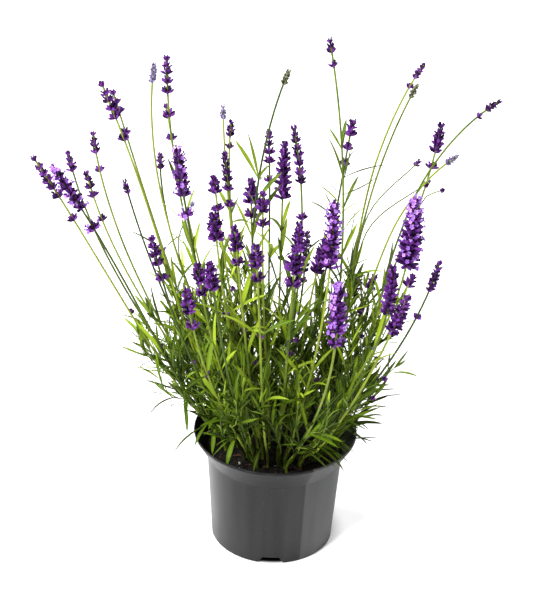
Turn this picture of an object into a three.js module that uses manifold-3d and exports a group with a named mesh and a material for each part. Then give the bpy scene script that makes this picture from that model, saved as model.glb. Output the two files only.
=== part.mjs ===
// A potted lavender: a round nursery pot, its soil, a clump of flower stalks and the leafy
// shoots around their feet. Millimetres, +Z up, the pot standing on z = 0 with its axis on Z.
import * as THREE from 'three';
import { mergeVertices } from 'three/addons/utils/BufferGeometryUtils.js';
import Module from 'manifold-3d';

const wasm = await Module();
wasm.setup();

// ---------------------------------------------------------------- driving dimensions

const RIM_RADIUS = 75;
const POT_HEIGHT = 112;
const COLLAR_HEIGHT = 24;
const LIP_HEIGHT = 3;
const WALL_TOP_RADIUS = 62.4;
const FOOT_RADIUS = 57;
const WALL = 1.2;
const FLOOR = 1.5;
const FLOOR_LIFT = 8;
const BOSS_RADIUS = 22;
const BOSS_FLARE = 4;
const FOOT_RING = 2.4;
const FOOT_RING_FLARE = 2.6;
const POT_SEGMENTS = 40;

const NOTCHES = 4;
const NOTCH_HEIGHT = 6.5;
const NOTCH_FOOT_WIDTH = 24;
const NOTCH_TOP_WIDTH = 15;
const NOTCH_DEPTH = 16;
const DRAIN_HOLES = 8;
const DRAIN_RADIUS = 4;
const DRAIN_SEGMENTS = 12;

const SOIL_LEVEL = 91;
const SOIL_MOUND = 4;
const GAP = 0.3;

const STEM_FOOT_RADIUS = 1.3;
const STEM_TOP_RADIUS = 1;
const STALK_SIDES = 6;
const CLUMP_RADIUS = 44;
const FOOT_SHARE = 0.26;
const FOOT_LEAN = 1.3;
const FOOT_PULL = 0.3;
const TIP_PULL = 0.35;

const WHORL_RADIUS = 5.6;
const WHORL_UNDERSIDE = 6;
const WHORL_TOPSIDE = 4;
const SPIKE_RADIUS = 6.6;
const SPIKE_SHOULDER = 5;
const SPIKE_TAPER = 0.4;
const SPIKE_NOSE = 4;

const LEAF_LENGTH = 46;
const LEAF_WIDTH = 4.4;
const LEAF_THICKNESS = 0.9;
const LEAF_SPACING = 13;
const LOWEST_LEAF = 22;
const LOWEST_RISE = 18;
const RISE_GAIN = 38;
const LEAF_SHRINK = 0.35;
const LEAF_ARCH = 0.5;
const LEAF_ARCH_SHARE = 0.45;
const CLEARANCE = 0.6;

const SHOOT_FOOT_SHARE = 0.45;
const SHOOT_TIP_LEAN = 0.8;

const UP = new THREE.Vector3(0, 0, 1);
const GOLDEN_ANGLE = Math.PI * (3 - Math.sqrt(5));

// ---------------------------------------------------------------- materials

function finish(color, roughness) {
  return new THREE.MeshStandardMaterial({ color, roughness, metalness: 0 });
}

const potPlastic = () => finish(0x2b2b2c, 0.45);
const darkSoil = () => finish(0x1d1712, 0.95);
const violetFlower = () => finish(0x4a2380, 0.8);
const greenLeaf = () => finish(0x5c8a2e, 0.7);

// ---------------------------------------------------------------- solids

// A closed, indexed surface: positions only, shared vertices merged, faces without area dropped.
function closedSurface(geometry) {
  geometry.deleteAttribute('normal');
  geometry.deleteAttribute('uv');
  const merged = mergeVertices(geometry, 1e-3);
  const corners = merged.index.array;
  const kept = [];
  for (let i = 0; i < corners.length; i += 3) {
    const [a, b, c] = [corners[i], corners[i + 1], corners[i + 2]];
    if (a !== b && b !== c && c !== a) kept.push(a, b, c);
  }
  merged.setIndex(kept);
  return merged;
}

function solidOf(geometry) {
  const surface = closedSurface(geometry);
  const vertProperties = new Float32Array(surface.attributes.position.array);
  const triVerts = new Uint32Array(surface.index.array);
  return new wasm.Manifold(new wasm.Mesh({ numProp: 3, vertProperties, triVerts }));
}

function geometryOf(solid) {
  const mesh = solid.getMesh();
  const geometry = new THREE.BufferGeometry();
  geometry.setAttribute('position', new THREE.BufferAttribute(new Float32Array(mesh.vertProperties), 3));
  geometry.setIndex(Array.from(mesh.triVerts));
  return geometry;
}

function namedMesh(name, geometry, material) {
  const mesh = new THREE.Mesh(geometry, material);
  mesh.name = name;
  return mesh;
}

function turned(points, segments) {
  const profile = points.map(([radius, height]) => new THREE.Vector2(radius, height));
  return new THREE.LatheGeometry(profile, segments).rotateX(Math.PI / 2);
}

// A turned profile of [distance, radius] stations bent along a curve. across is the direction
// that the section's first side keeps, and flatness squeezes the section at right angles to it.
function bent(curve, stations, sides, across, flatness = 1) {
  const length = stations.at(-1)[0];
  const profile = stations.map(([distance, radius]) => new THREE.Vector2(radius, distance));
  const geometry = new THREE.LatheGeometry(profile, sides);
  const places = geometry.attributes.position;
  const place = new THREE.Vector3();
  for (let i = 0; i < places.count; i += 1) {
    place.fromBufferAttribute(places, i);
    const t = place.y / length;
    const tangent = curve.getTangent(t);
    const thick = new THREE.Vector3().crossVectors(across, tangent).normalize();
    const wide = new THREE.Vector3().crossVectors(thick, tangent);
    const bentPlace = curve.getPoint(t);
    bentPlace.addScaledVector(wide, place.z);
    bentPlace.addScaledVector(thick, place.x * flatness);
    places.setXYZ(i, bentPlace.x, bentPlace.y, bentPlace.z);
  }
  return closedSurface(geometry);
}

// ---------------------------------------------------------------- room between the stems

// Everything that has been placed, as straight pieces { from, to, radius } of one owner.
const placed = [];

function piecesAlong(curve, stations, owner) {
  const length = stations.at(-1)[0];
  const pieces = [];
  for (let i = 1; i < stations.length; i += 1) {
    const [start, startRadius] = stations[i - 1];
    const [end, endRadius] = stations[i];
    if (end - start < GAP) continue;
    const from = curve.getPoint(start / length);
    const to = curve.getPoint(end / length);
    pieces.push({ from, to, radius: Math.max(startRadius, endRadius), owner });
  }
  return pieces;
}

// The shortest distance between two straight pieces.
function distanceBetween(one, other) {
  const u = new THREE.Vector3().subVectors(one.to, one.from);
  const v = new THREE.Vector3().subVectors(other.to, other.from);
  const w = new THREE.Vector3().subVectors(one.from, other.from);
  const [a, b, c, d, e] = [u.dot(u), u.dot(v), v.dot(v), u.dot(w), v.dot(w)];
  const spread = a * c - b * b;
  let s = spread > 1e-9 ? THREE.MathUtils.clamp((b * e - c * d) / spread, 0, 1) : 0;
  const t = THREE.MathUtils.clamp((b * s + e) / c, 0, 1);
  s = THREE.MathUtils.clamp((b * t - d) / a, 0, 1);
  return w.addScaledVector(u, s).addScaledVector(v, -t).length();
}

function isClear(pieces) {
  return pieces.every((piece) => placed.every((other) => other.owner === piece.owner
    || distanceBetween(piece, other) > piece.radius + other.radius + CLEARANCE));
}

// ---------------------------------------------------------------- pot

function potProfile() {
  const outsideFoot = [
    [0, 0],
    [BOSS_RADIUS, 0],
    [BOSS_RADIUS + BOSS_FLARE, FLOOR_LIFT],
    [FOOT_RADIUS - FOOT_RING - FOOT_RING_FLARE, FLOOR_LIFT],
    [FOOT_RADIUS - FOOT_RING, 0],
    [FOOT_RADIUS, 0],
  ];
  const collarFoot = POT_HEIGHT - COLLAR_HEIGHT;
  const lipFoot = POT_HEIGHT - LIP_HEIGHT;
  const outside = [
    [WALL_TOP_RADIUS, collarFoot],
    [RIM_RADIUS, lipFoot],
    [RIM_RADIUS, POT_HEIGHT],
  ];
  const inside = [
    [RIM_RADIUS - WALL, POT_HEIGHT],
    [RIM_RADIUS - WALL, lipFoot + WALL / 2],
    [WALL_TOP_RADIUS - WALL, collarFoot + WALL / 2],
    [FOOT_RADIUS - WALL, FLOOR_LIFT + FLOOR],
    [BOSS_RADIUS + BOSS_FLARE - 1, FLOOR_LIFT + FLOOR],
    [BOSS_RADIUS - 1, FLOOR],
    [0, FLOOR],
  ];
  return [...outsideFoot, ...outside, ...inside];
}

// The drain notch: a trapezium cut through the foot ring and the skirt of the wall.
function notchCutter(angle) {
  const outline = new THREE.Shape([
    new THREE.Vector2(-NOTCH_FOOT_WIDTH / 2, -GAP),
    new THREE.Vector2(NOTCH_FOOT_WIDTH / 2, -GAP),
    new THREE.Vector2(NOTCH_TOP_WIDTH / 2, NOTCH_HEIGHT),
    new THREE.Vector2(-NOTCH_TOP_WIDTH / 2, NOTCH_HEIGHT),
  ]);
  const cutter = new THREE.ExtrudeGeometry(outline, { depth: NOTCH_DEPTH, bevelEnabled: false });
  cutter.rotateX(Math.PI / 2);
  cutter.translate(0, NOTCH_DEPTH / 2 - FOOT_RADIUS, 0);
  cutter.rotateZ(angle);
  return solidOf(cutter);
}

function drainCutter(angle) {
  const ring = (BOSS_RADIUS + FOOT_RADIUS) / 2;
  const cutter = new THREE.CylinderGeometry(DRAIN_RADIUS, DRAIN_RADIUS, FLOOR * 4, DRAIN_SEGMENTS);
  cutter.rotateX(Math.PI / 2);
  cutter.translate(ring * Math.cos(angle), ring * Math.sin(angle), FLOOR_LIFT + FLOOR / 2);
  return solidOf(cutter);
}

function pot() {
  let body = solidOf(turned(potProfile(), POT_SEGMENTS));
  for (let i = 0; i < NOTCHES; i += 1) {
    body = body.subtract(notchCutter((i * 2 * Math.PI) / NOTCHES));
  }
  for (let i = 0; i < DRAIN_HOLES; i += 1) {
    body = body.subtract(drainCutter(((i + 0.5) * 2 * Math.PI) / DRAIN_HOLES));
  }
  return namedMesh('pot', geometryOf(body), potPlastic());
}

// ---------------------------------------------------------------- soil

// How far out the inside of the wall is at a height, less the gap.
function soilRadius(height) {
  const collarFoot = POT_HEIGHT - COLLAR_HEIGHT + WALL / 2;
  const floorTop = FLOOR_LIFT + FLOOR;
  const inner = [FOOT_RADIUS - WALL, WALL_TOP_RADIUS - WALL, RIM_RADIUS - WALL];
  if (height < collarFoot) {
    const up = (height - floorTop) / (collarFoot - floorTop);
    return THREE.MathUtils.lerp(inner[0], inner[1], up) - GAP;
  }
  const collarTop = POT_HEIGHT - LIP_HEIGHT + WALL / 2;
  const up = (height - collarFoot) / (collarTop - collarFoot);
  return THREE.MathUtils.lerp(inner[1], inner[2], up) - GAP * 1.5;
}

// The height of the soil's low mound at a distance from the axis.
function soilHeight(radius) {
  const out = Math.min(radius / soilRadius(SOIL_LEVEL), 1);
  return SOIL_LEVEL + SOIL_MOUND * (1 - out * out);
}

function pottingSoil() {
  const collarFoot = POT_HEIGHT - COLLAR_HEIGHT + WALL / 2;
  const floorTop = FLOOR_LIFT + FLOOR + GAP;
  const mound = [1, 0.75, 0.5, 0.25, 0].map((out) => {
    const radius = out * soilRadius(SOIL_LEVEL);
    return [radius, soilHeight(radius)];
  });
  const profile = [
    [0, FLOOR + GAP],
    [BOSS_RADIUS - 1 - GAP, FLOOR + GAP],
    [BOSS_RADIUS + BOSS_FLARE - 1 - GAP, floorTop],
    [soilRadius(floorTop), floorTop],
    [soilRadius(collarFoot - GAP), collarFoot - GAP],
    ...mound,
  ];
  const surface = closedSurface(turned(profile, POT_SEGMENTS));
  return namedMesh('potting_soil', surface, darkSoil());
}

// ---------------------------------------------------------------- flower stalks

// Each stalk: its tip x, y, z, the length of its spike, how far below the spike one more whorl
// stands (0 for none), and how much the tip leans against the whole stalk's lean.
const STALKS = [
  [-210, -30, 390, 42, 20, 1.0],
  [-185, -85, 405, 44, 18, 1.15],
  [-190, 40, 365, 19, 0, 0.4],
  [-180, 85, 326, 25, 18, 0.5],
  [-165, 15, 395, 20, 12, 0.3],
  [-154, -15, 452, 35, 15, 1.2],
  [-155, 85, 405, 22, 15, 0.8],
  [-115, 50, 445, 18, 0, 0.0],
  [-101, 0, 471, 33, 15, 0.0],
  [-110, 120, 380, 14, 15, 0.7],
  [-117, 145, 320, 16, 0, 0.0],
  [-88, -60, 415, 43, 15, 0.5],
  [-105, -110, 360, 20, 20, 0.6],
  [-76, -130, 325, 25, 13, 0.5],
  [-69, -95, 330, 20, 8, 0.5],
  [-57, -150, 360, 27, 0, 0.5],
  [-58, -60, 360, 27, 0, 0.4],
  [-62, 20, 356, 17, 12, 0.8],
  [-50, 110, 370, 18, 8, -0.8],
  [-60, 170, 360, 14, 0, 0.0],
  [-54, 60, 361, 36, 10, 0.7],
  [-40, -95, 365, 25, 9, 0.7],
  [-29, 30, 350, 24, 8, 0.4],
  [-22, -145, 374, 24, 11, 0.9],
  [-18, -35, 368, 20, 8, 0.3],
  [-16, 150, 345, 31, 13, 0.5],
  [0, 20, 455, 14, 0, 2.0],
  [-1, 90, 360, 52, 0, 0.8],
  [5, 20, 405, 52, 29, 0.6],
  [13, -35, 341, 28, 0, 0.5],
  [10, -110, 355, 26, 9, 0.7],
  [22, 35, 299, 40, 0, 0.6],
  [38, -120, 401, 60, 0, 0.1],
  [37, 5, 306, 34, 0, 0.7],
  [32, 20, 484, 14, 7, 0.8],
  [61, 130, 367, 16, 8, 0.7],
  [116, 60, 450, 16, 0, 2.4],
  [115, 100, 415, 14, 0, 1.8],
  [180, 30, 430, 14, 0, 2.5],
  [140, 110, 375, 28, 11, 0.3],
  [101, -110, 402, 64, 0, 0.3],
  [131, -60, 322, 32, 25, 0.45],
  [87, -125, 350, 46, 0, 0.1],
  [98, -155, 339, 43, 0, 0.7],
  [43, -165, 351, 44, 9, 0.0],
  [72, 40, 256, 24, 0, 1.0],
  [152, 60, 365, 14, 0, 2.6],
  [122, 60, 246, 14, 0, 1.0],
  [89, 90, 229, 16, 0, 1.0],
  [-142, 50, 335, 14, 0, 0.6],
];

// Stalks that leave the usual line, by number: where the foot stands, and how far the lower
// and the upper half of the stem are pulled aside.
const WAYWARD = {
  8: { high: [-18, 0] },
  27: { foot: [-26, 12], high: [-28, 0] },
  29: { high: [30, 0] },
  33: { high: [7, 0] },
  34: { high: [-9, 0] },
  35: { foot: [42, 12], low: [14, 0], high: [29, 0] },
  37: { foot: [42, 16], low: [6, 0], high: [-13, 0] },
  38: { foot: [38, 26], high: [-13, 0] },
  39: { foot: [43, 4], low: [14, 0], high: [-9, 0] },
  41: { high: [15, 0] },
  43: { high: [5, 0] },
  45: { high: [10, 0] },
  47: { foot: [40, 20] },
};

// The curve of a stem: it leaves the soil leaning out and straightens as it climbs.
function stemCurve(foot, tip, tipLean, sway, lowPull = [0, 0], highPull = [0, 0]) {
  const outward = new THREE.Vector3(tip.x - foot.x, tip.y - foot.y, 0).normalize();
  const sideways = new THREE.Vector3(-outward.y, outward.x, 0);
  const chord = new THREE.Vector3().subVectors(tip, foot);
  const length = chord.length();
  const lean = Math.acos(chord.z / length);
  const climb = (angle) => new THREE.Vector3()
    .addScaledVector(outward, Math.sin(angle))
    .addScaledVector(UP, Math.cos(angle));
  const low = foot.clone().addScaledVector(climb(lean * FOOT_LEAN), length * FOOT_PULL);
  const high = tip.clone().addScaledVector(climb(lean * tipLean), -length * TIP_PULL);
  low.addScaledVector(sideways, sway).add(new THREE.Vector3(...lowPull, 0));
  high.addScaledVector(sideways, -sway).add(new THREE.Vector3(...highPull, 0));
  return { curve: new THREE.CubicBezierCurve3(foot, low, high, tip), sideways };
}

// The radius of a flower stalk at each distance from its foot: the stem, the one separate
// whorl if it has one, and the spike of flowers at the top.
function stalkStations(length, spike, whorlDrop) {
  const hasWhorl = whorlDrop > 0;
  const spikeFoot = length - spike;
  const whorlMiddle = spikeFoot - whorlDrop;
  const stemTop = hasWhorl ? whorlMiddle - WHORL_UNDERSIDE : spikeFoot;
  const stations = [[0, 0], [0, STEM_FOOT_RADIUS]];
  for (const share of [0.2, 0.4, 0.6, 0.8, 1]) {
    stations.push([share * stemTop, THREE.MathUtils.lerp(STEM_FOOT_RADIUS, STEM_TOP_RADIUS, share)]);
  }
  if (hasWhorl) {
    stations.push([whorlMiddle, WHORL_RADIUS]);
    stations.push([whorlMiddle + WHORL_TOPSIDE, STEM_TOP_RADIUS]);
  }
  stations.push([spikeFoot + SPIKE_SHOULDER, SPIKE_RADIUS]);
  stations.push([length - spike * SPIKE_TAPER, SPIKE_RADIUS]);
  stations.push([length - SPIKE_NOSE, SPIKE_RADIUS / 2]);
  stations.push([length, 0]);
  return stations;
}

// The places tried for a stem's foot: the wished one, then a widening spiral around it.
function footPlaces(wished) {
  const tries = 80;
  const step = 1.1;
  const places = [];
  for (let i = 0; i < tries; i += 1) {
    const away = step * Math.sqrt(i);
    const turn = i * GOLDEN_ANGLE;
    const x = wished.x + away * Math.cos(turn);
    const y = wished.y + away * Math.sin(turn);
    const height = soilHeight(Math.hypot(x, y)) + GAP + STEM_FOOT_RADIUS;
    places.push(new THREE.Vector3(x, y, height));
  }
  return places;
}

function flowerStalk(index, [x, y, z, spike, whorlDrop, tipLean]) {
  const name = `flower_stalk_${String(index + 1).padStart(2, '0')}`;
  const tip = new THREE.Vector3(x, y, z);
  const reach = Math.hypot(x, y);
  const footReach = Math.min(CLUMP_RADIUS, reach * FOOT_SHARE);
  const usual = [(x * footReach) / reach, (y * footReach) / reach];
  const { foot: place = usual, low, high } = WAYWARD[index + 1] ?? {};
  for (const foot of footPlaces(new THREE.Vector3(...place, 0))) {
    for (const sway of [4, -4, 9, -9]) {
      const aside = sway * Math.cos(index);
      const { curve, sideways } = stemCurve(foot, tip, tipLean, aside, low, high);
      const stations = stalkStations(curve.getLength(), spike, whorlDrop);
      const pieces = piecesAlong(curve, stations, name);
      if (isClear(pieces)) {
        placed.push(...pieces);
        return namedMesh(name, bent(curve, stations, STALK_SIDES, sideways), violetFlower());
      }
    }
  }
  throw new Error(`${name} has no clear place`);
}

// ---------------------------------------------------------------- leafy shoots

// Each shoot without a flower: its heading in degrees, how far out and how high it reaches.
const SHOOTS = [
  [12, 96, 205],
  [58, 74, 250],
  [102, 92, 220],
  [148, 78, 255],
  [194, 104, 205],
  [238, 76, 225],
  [284, 84, 190],
  [328, 98, 200],
];

// A place at a distance from a node, outward and up at an angle.
function climbFrom(node, outward, rise, distance) {
  return node.clone()
    .addScaledVector(outward, distance * Math.cos(rise))
    .addScaledVector(UP, distance * Math.sin(rise));
}

// A leaf starts steeper than its rise and arches over to its tip.
function leafCurve(node, outward, rise, length) {
  const middle = climbFrom(node, outward, rise + LEAF_ARCH, length * LEAF_ARCH_SHARE);
  const end = climbFrom(node, outward, rise, length);
  return new THREE.QuadraticBezierCurve3(node, middle, end);
}

function leafStations(length) {
  return [
    [0, 0],
    [length * 0.15, LEAF_WIDTH * 0.3],
    [length * 0.6, LEAF_WIDTH / 2],
    [length, 0],
  ];
}

// A leaf reaches past the rim only above it, and inside the pot it stays off the soil.
function isOverPot(pieces) {
  const margin = LEAF_WIDTH / 2 + 1;
  const wellRadius = WALL_TOP_RADIUS - LEAF_WIDTH;
  return pieces.every(({ to }) => {
    const radius = Math.hypot(to.x, to.y);
    const level = radius < wellRadius ? soilHeight(radius) : POT_HEIGHT;
    return to.z > level + margin;
  });
}

// The leaf nearest to its wished heading and rise that touches nothing, or none.
function clearLeaf(node, heading, rise, length, owner) {
  for (const turn of [0, 12, -12, 24, -24, 36, -36]) {
    for (const lift of [0, 12, -12, 24]) {
      const angle = THREE.MathUtils.degToRad(heading + turn);
      const outward = new THREE.Vector3(Math.cos(angle), Math.sin(angle), 0);
      const curve = leafCurve(node, outward, THREE.MathUtils.degToRad(rise + lift), length);
      const stations = leafStations(curve.getLength());
      const pieces = piecesAlong(curve, stations, owner);
      if (isOverPot(pieces) && isClear(pieces)) return { curve, stations, pieces, outward };
    }
  }
  return null;
}

function leafSolid({ curve, stations, outward }) {
  const across = new THREE.Vector3(-outward.y, outward.x, 0);
  return solidOf(bent(curve, stations, 4, across, LEAF_THICKNESS / LEAF_WIDTH));
}

function shootStem(index, [headingDegrees, reach, height]) {
  const name = `leafy_shoot_${String(index + 1).padStart(2, '0')}`;
  for (const turn of [0, 4, -4, 8, -8, 12, -12]) {
    const heading = THREE.MathUtils.degToRad(headingDegrees + turn);
    const outward = new THREE.Vector3(Math.cos(heading), Math.sin(heading), 0);
    const tip = outward.clone().multiplyScalar(reach).setZ(height);
    for (const foot of footPlaces(outward.clone().multiplyScalar(reach * SHOOT_FOOT_SHARE))) {
      const { curve, sideways } = stemCurve(foot, tip, SHOOT_TIP_LEAN, 0);
      const length = curve.getLength();
      const stations = [
        [0, 0],
        [0, STEM_FOOT_RADIUS],
        [length * 0.35, STEM_FOOT_RADIUS],
        [length * 0.7, STEM_TOP_RADIUS],
        [length, 0],
      ];
      const pieces = piecesAlong(curve, stations, name);
      if (isClear(pieces)) return { name, heading, curve, sideways, stations, length, pieces };
    }
  }
  throw new Error(`${name} has no clear place`);
}

function leafyShoot(stem) {
  let body = solidOf(bent(stem.curve, stem.stations, STALK_SIDES, stem.sideways));
  const pairs = Math.floor((stem.length - LOWEST_LEAF) / LEAF_SPACING);
  for (let pair = 0; pair < pairs; pair += 1) {
    const share = (LOWEST_LEAF + pair * LEAF_SPACING) / stem.length;
    const node = stem.curve.getPoint(share);
    const heading = THREE.MathUtils.radToDeg(stem.heading) + 45 + 90 * pair;
    for (const side of [0, 180]) {
      const rise = LOWEST_RISE + RISE_GAIN * share;
      const length = LEAF_LENGTH * (1 - LEAF_SHRINK * share);
      const leaf = clearLeaf(node, heading + side, rise, length, stem.name);
      if (leaf) {
        placed.push(...leaf.pieces);
        body = body.add(leafSolid(leaf));
      }
    }
  }
  return namedMesh(stem.name, geometryOf(body), greenLeaf());
}

// ---------------------------------------------------------------- assembly

const plant = new THREE.Group();
plant.add(pot());
plant.add(pottingSoil());
STALKS.forEach((stalk, index) => plant.add(flowerStalk(index, stalk)));
const stems = SHOOTS.map((shoot, index) => {
  const stem = shootStem(index, shoot);
  placed.push(...stem.pieces);
  return stem;
});
stems.forEach((stem) => plant.add(leafyShoot(stem)));

export default plant;
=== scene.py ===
import math

import bpy
import numpy as np
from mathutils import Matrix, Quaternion, Vector


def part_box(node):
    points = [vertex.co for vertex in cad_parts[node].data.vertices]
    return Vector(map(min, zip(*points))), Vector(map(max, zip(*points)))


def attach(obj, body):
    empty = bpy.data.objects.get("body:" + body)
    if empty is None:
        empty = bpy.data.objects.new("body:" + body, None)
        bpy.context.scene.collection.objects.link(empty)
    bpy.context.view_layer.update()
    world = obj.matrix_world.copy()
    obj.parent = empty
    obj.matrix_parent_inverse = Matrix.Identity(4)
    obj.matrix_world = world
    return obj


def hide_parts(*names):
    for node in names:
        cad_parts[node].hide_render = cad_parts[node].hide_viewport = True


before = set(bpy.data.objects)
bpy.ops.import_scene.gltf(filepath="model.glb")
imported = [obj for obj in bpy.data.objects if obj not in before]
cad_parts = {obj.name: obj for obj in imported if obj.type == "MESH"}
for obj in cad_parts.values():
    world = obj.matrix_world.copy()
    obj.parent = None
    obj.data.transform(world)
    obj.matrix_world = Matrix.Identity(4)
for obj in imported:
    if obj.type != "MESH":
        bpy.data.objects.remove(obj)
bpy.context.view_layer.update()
MM = 0.001


# ------------------------------------------------------------------ the nursery pot
# A thin-walled round pot, injection moulded in dark grey polypropylene. Its wall steps out into
# a flared collar with a rolled lip, and its foot ring has four drain notches.


class Wire:
    """One socket of a finish. Sums, differences and products of wires add their own Math nodes."""

    def __init__(self, tree, socket):
        self.tree = tree
        self.socket = socket

    def maths(self, operation, first, second):
        node = self.tree.nodes.new("ShaderNodeMath")
        node.operation = operation
        for place, value in enumerate((first, second)):
            if isinstance(value, Wire):
                self.tree.links.new(value.socket, node.inputs[place])
            else:
                node.inputs[place].default_value = value
        return Wire(self.tree, node.outputs[0])

    def __add__(self, other):
        return self.maths("ADD", self, other)

    def __radd__(self, other):
        return self.maths("ADD", other, self)

    def __sub__(self, other):
        return self.maths("SUBTRACT", self, other)

    def __rsub__(self, other):
        return self.maths("SUBTRACT", other, self)

    def __mul__(self, other):
        return self.maths("MULTIPLY", self, other)

    def __rmul__(self, other):
        return self.maths("MULTIPLY", other, self)


class Finish:
    """A material being made. node() adds any node, and coat() wires the surface's sockets."""

    def __init__(self, name):
        self.material = bpy.data.materials.new(name)
        self.material.use_nodes = True
        self.tree = self.material.node_tree
        self.surface = self.tree.nodes["Principled BSDF"]

    def node(self, kind, settings=None, sockets=None, output=0):
        node = self.tree.nodes.new(kind)
        for setting, value in (settings or {}).items():
            if setting == "stops":
                self.set_stops(node.color_ramp, value)
            else:
                setattr(node, setting, value)
        for place, value in (sockets or {}).items():
            self.join(value, node.inputs[place])
        return Wire(self.tree, node.outputs[output])

    def set_stops(self, ramp, stops):
        while len(ramp.elements) < len(stops):
            ramp.elements.new(0.5)
        for element, (position, colour) in zip(ramp.elements, stops):
            element.position = position
            element.color = (*colour, 1)

    def join(self, value, socket):
        if isinstance(value, Wire):
            self.tree.links.new(value.socket, socket)
        elif isinstance(value, tuple) and socket.type == "RGBA":
            socket.default_value = (*value, 1)
        else:
            socket.default_value = value

    def mix(self, share, first, second):
        """A colour between two colours."""
        return self.node(
            "ShaderNodeMix",
            {"data_type": "RGBA"},
            {0: share, 6: first, 7: second},
            output=2,
        )

    def ramp(self, share, *stops):
        return self.node("ShaderNodeValToRGB", {"stops": stops}, {0: share})

    def between(self, value, low, high):
        """0 where the value is at low, 1 where it is at high, and smooth between them."""
        return self.node(
            "ShaderNodeMapRange",
            {"interpolation_type": "SMOOTHSTEP"},
            {"Value": value, "From Min": low, "From Max": high},
        )

    def grain(self, places, scale, detail=3, roughness=0.5):
        return self.node(
            "ShaderNodeTexNoise",
            {},
            {"Vector": places, "Scale": scale, "Detail": detail, "Roughness": roughness},
        )

    def places(self, stretch=(1, 1, 1)):
        """Places on the piece, stretched along its axes."""
        mapping = self.tree.nodes.new("ShaderNodeMapping")
        mapping.inputs["Scale"].default_value = stretch
        self.join(self.node("ShaderNodeTexCoord", output=3), mapping.inputs["Vector"])
        return Wire(self.tree, mapping.outputs[0])

    def axis(self, vector, number):
        """One number of a vector: 0 for X, 1 for Y and 2 for Z."""
        return self.node("ShaderNodeSeparateXYZ", {}, {0: vector}, output=number)

    def bump(self, height, strength, distance):
        return self.node(
            "ShaderNodeBump",
            {},
            {"Height": height, "Strength": strength, "Distance": distance},
        )

    def coat(self, **sockets):
        """Sets the surface's sockets, named with _ for a space."""
        for name, value in sockets.items():
            self.join(value, self.surface.inputs[name.replace("_", " ")])
        return self.material


def into_scene(name, data):
    """A new object of a mesh, a lamp or a camera, put into the scene."""
    made = bpy.data.objects.new(name, data)
    bpy.context.scene.collection.objects.link(made)
    return made


class Growth:
    """The parts of one piece, gathered as they are made and laid into one mesh."""

    def __init__(self):
        self.places = []
        self.faces = []
        self.finishes = []
        self.marks = []
        self.count = 0

    def add(self, places, faces, finish=0, marks=None):
        """marks holds, for each place, its share along its part, its part's own tone,
        its share across from the middle, and 1 on the underside."""
        self.places.append(places)
        self.faces.extend([[corner + self.count for corner in face] for face in faces])
        self.finishes.extend([finish] * len(faces))
        self.marks.append(np.zeros((len(places), 4)) if marks is None else marks)
        self.count += len(places)

    def piece(self, name, materials, crisp=50):
        """One object of everything gathered, with edges sharper than crisp degrees kept crisp."""
        mesh = bpy.data.meshes.new(name)
        mesh.from_pydata(np.concatenate(self.places).tolist(), [], self.faces)
        for material in materials:
            mesh.materials.append(material)
        mesh.polygons.foreach_set("material_index", self.finishes)
        marks = np.concatenate(self.marks).astype(np.float32)
        growth = mesh.attributes.new("growth", "FLOAT_VECTOR", "POINT")
        growth.data.foreach_set("vector", np.ascontiguousarray(marks[:, :3]).ravel())
        underside = mesh.attributes.new("underside", "FLOAT", "POINT")
        underside.data.foreach_set("value", np.ascontiguousarray(marks[:, 3]))
        mesh.shade_smooth()
        mesh.set_sharp_from_angle(angle=math.radians(crisp))
        mesh.validate()
        mesh.update()
        made = into_scene(name, mesh)
        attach(made, "root")
        return made


POT_SIDES = 144
COLLAR_HEIGHT = 24 * MM
LIP_HEIGHT = 3 * MM
POT_WALL = 1.2 * MM
POT_FLOOR = 1.5 * MM
FLOOR_LIFT = 8 * MM
BOSS_RADIUS = 22 * MM
FOOT_RING = 2.4 * MM
NOTCH_HEIGHT = 6.5 * MM
NOTCH_FOOT_HALF = 12 * MM
NOTCH_TOP_HALF = 7.5 * MM
# Bearings round the pot between which the wall is painted paler, as a painted reflection.
REFLECTION_FROM = math.radians(27)
REFLECTION_TO = math.radians(125)

pot_low, pot_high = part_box("pot")
rim_radius = (pot_high.x - pot_low.x) / 2
pot_height = pot_high.z
collar_foot = pot_height - COLLAR_HEIGHT


def cad_points(node):
    """The corners of a CAD node's mesh."""
    return np.array([corner.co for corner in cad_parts[node].data.vertices], float)


def wall_radius_at(height, points):
    """The radius of the pot's CAD wall near a height, on its outside."""
    near = points[np.abs(points[:, 2] - height) < 0.5 * MM]
    return np.hypot(near[:, 0], near[:, 1]).max()


pot_points = cad_points("pot")
foot_radius = wall_radius_at(0, pot_points)
collar_foot_radius = wall_radius_at(collar_foot, pot_points)


def rounded_corner(before, corner, after, radius, steps=4):
    """Points round a corner of an outline, from one side to the other."""
    corner = np.array(corner, float)
    start = corner + unit(np.array(before, float) - corner) * radius
    end = corner + unit(np.array(after, float) - corner) * radius
    share = np.linspace(0, 1, steps + 1)[:, None]
    return ((1 - share) ** 2 * start + 2 * share * (1 - share) * corner + share**2 * end).tolist()


def unit(vector):
    return vector / np.linalg.norm(vector)


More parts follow.
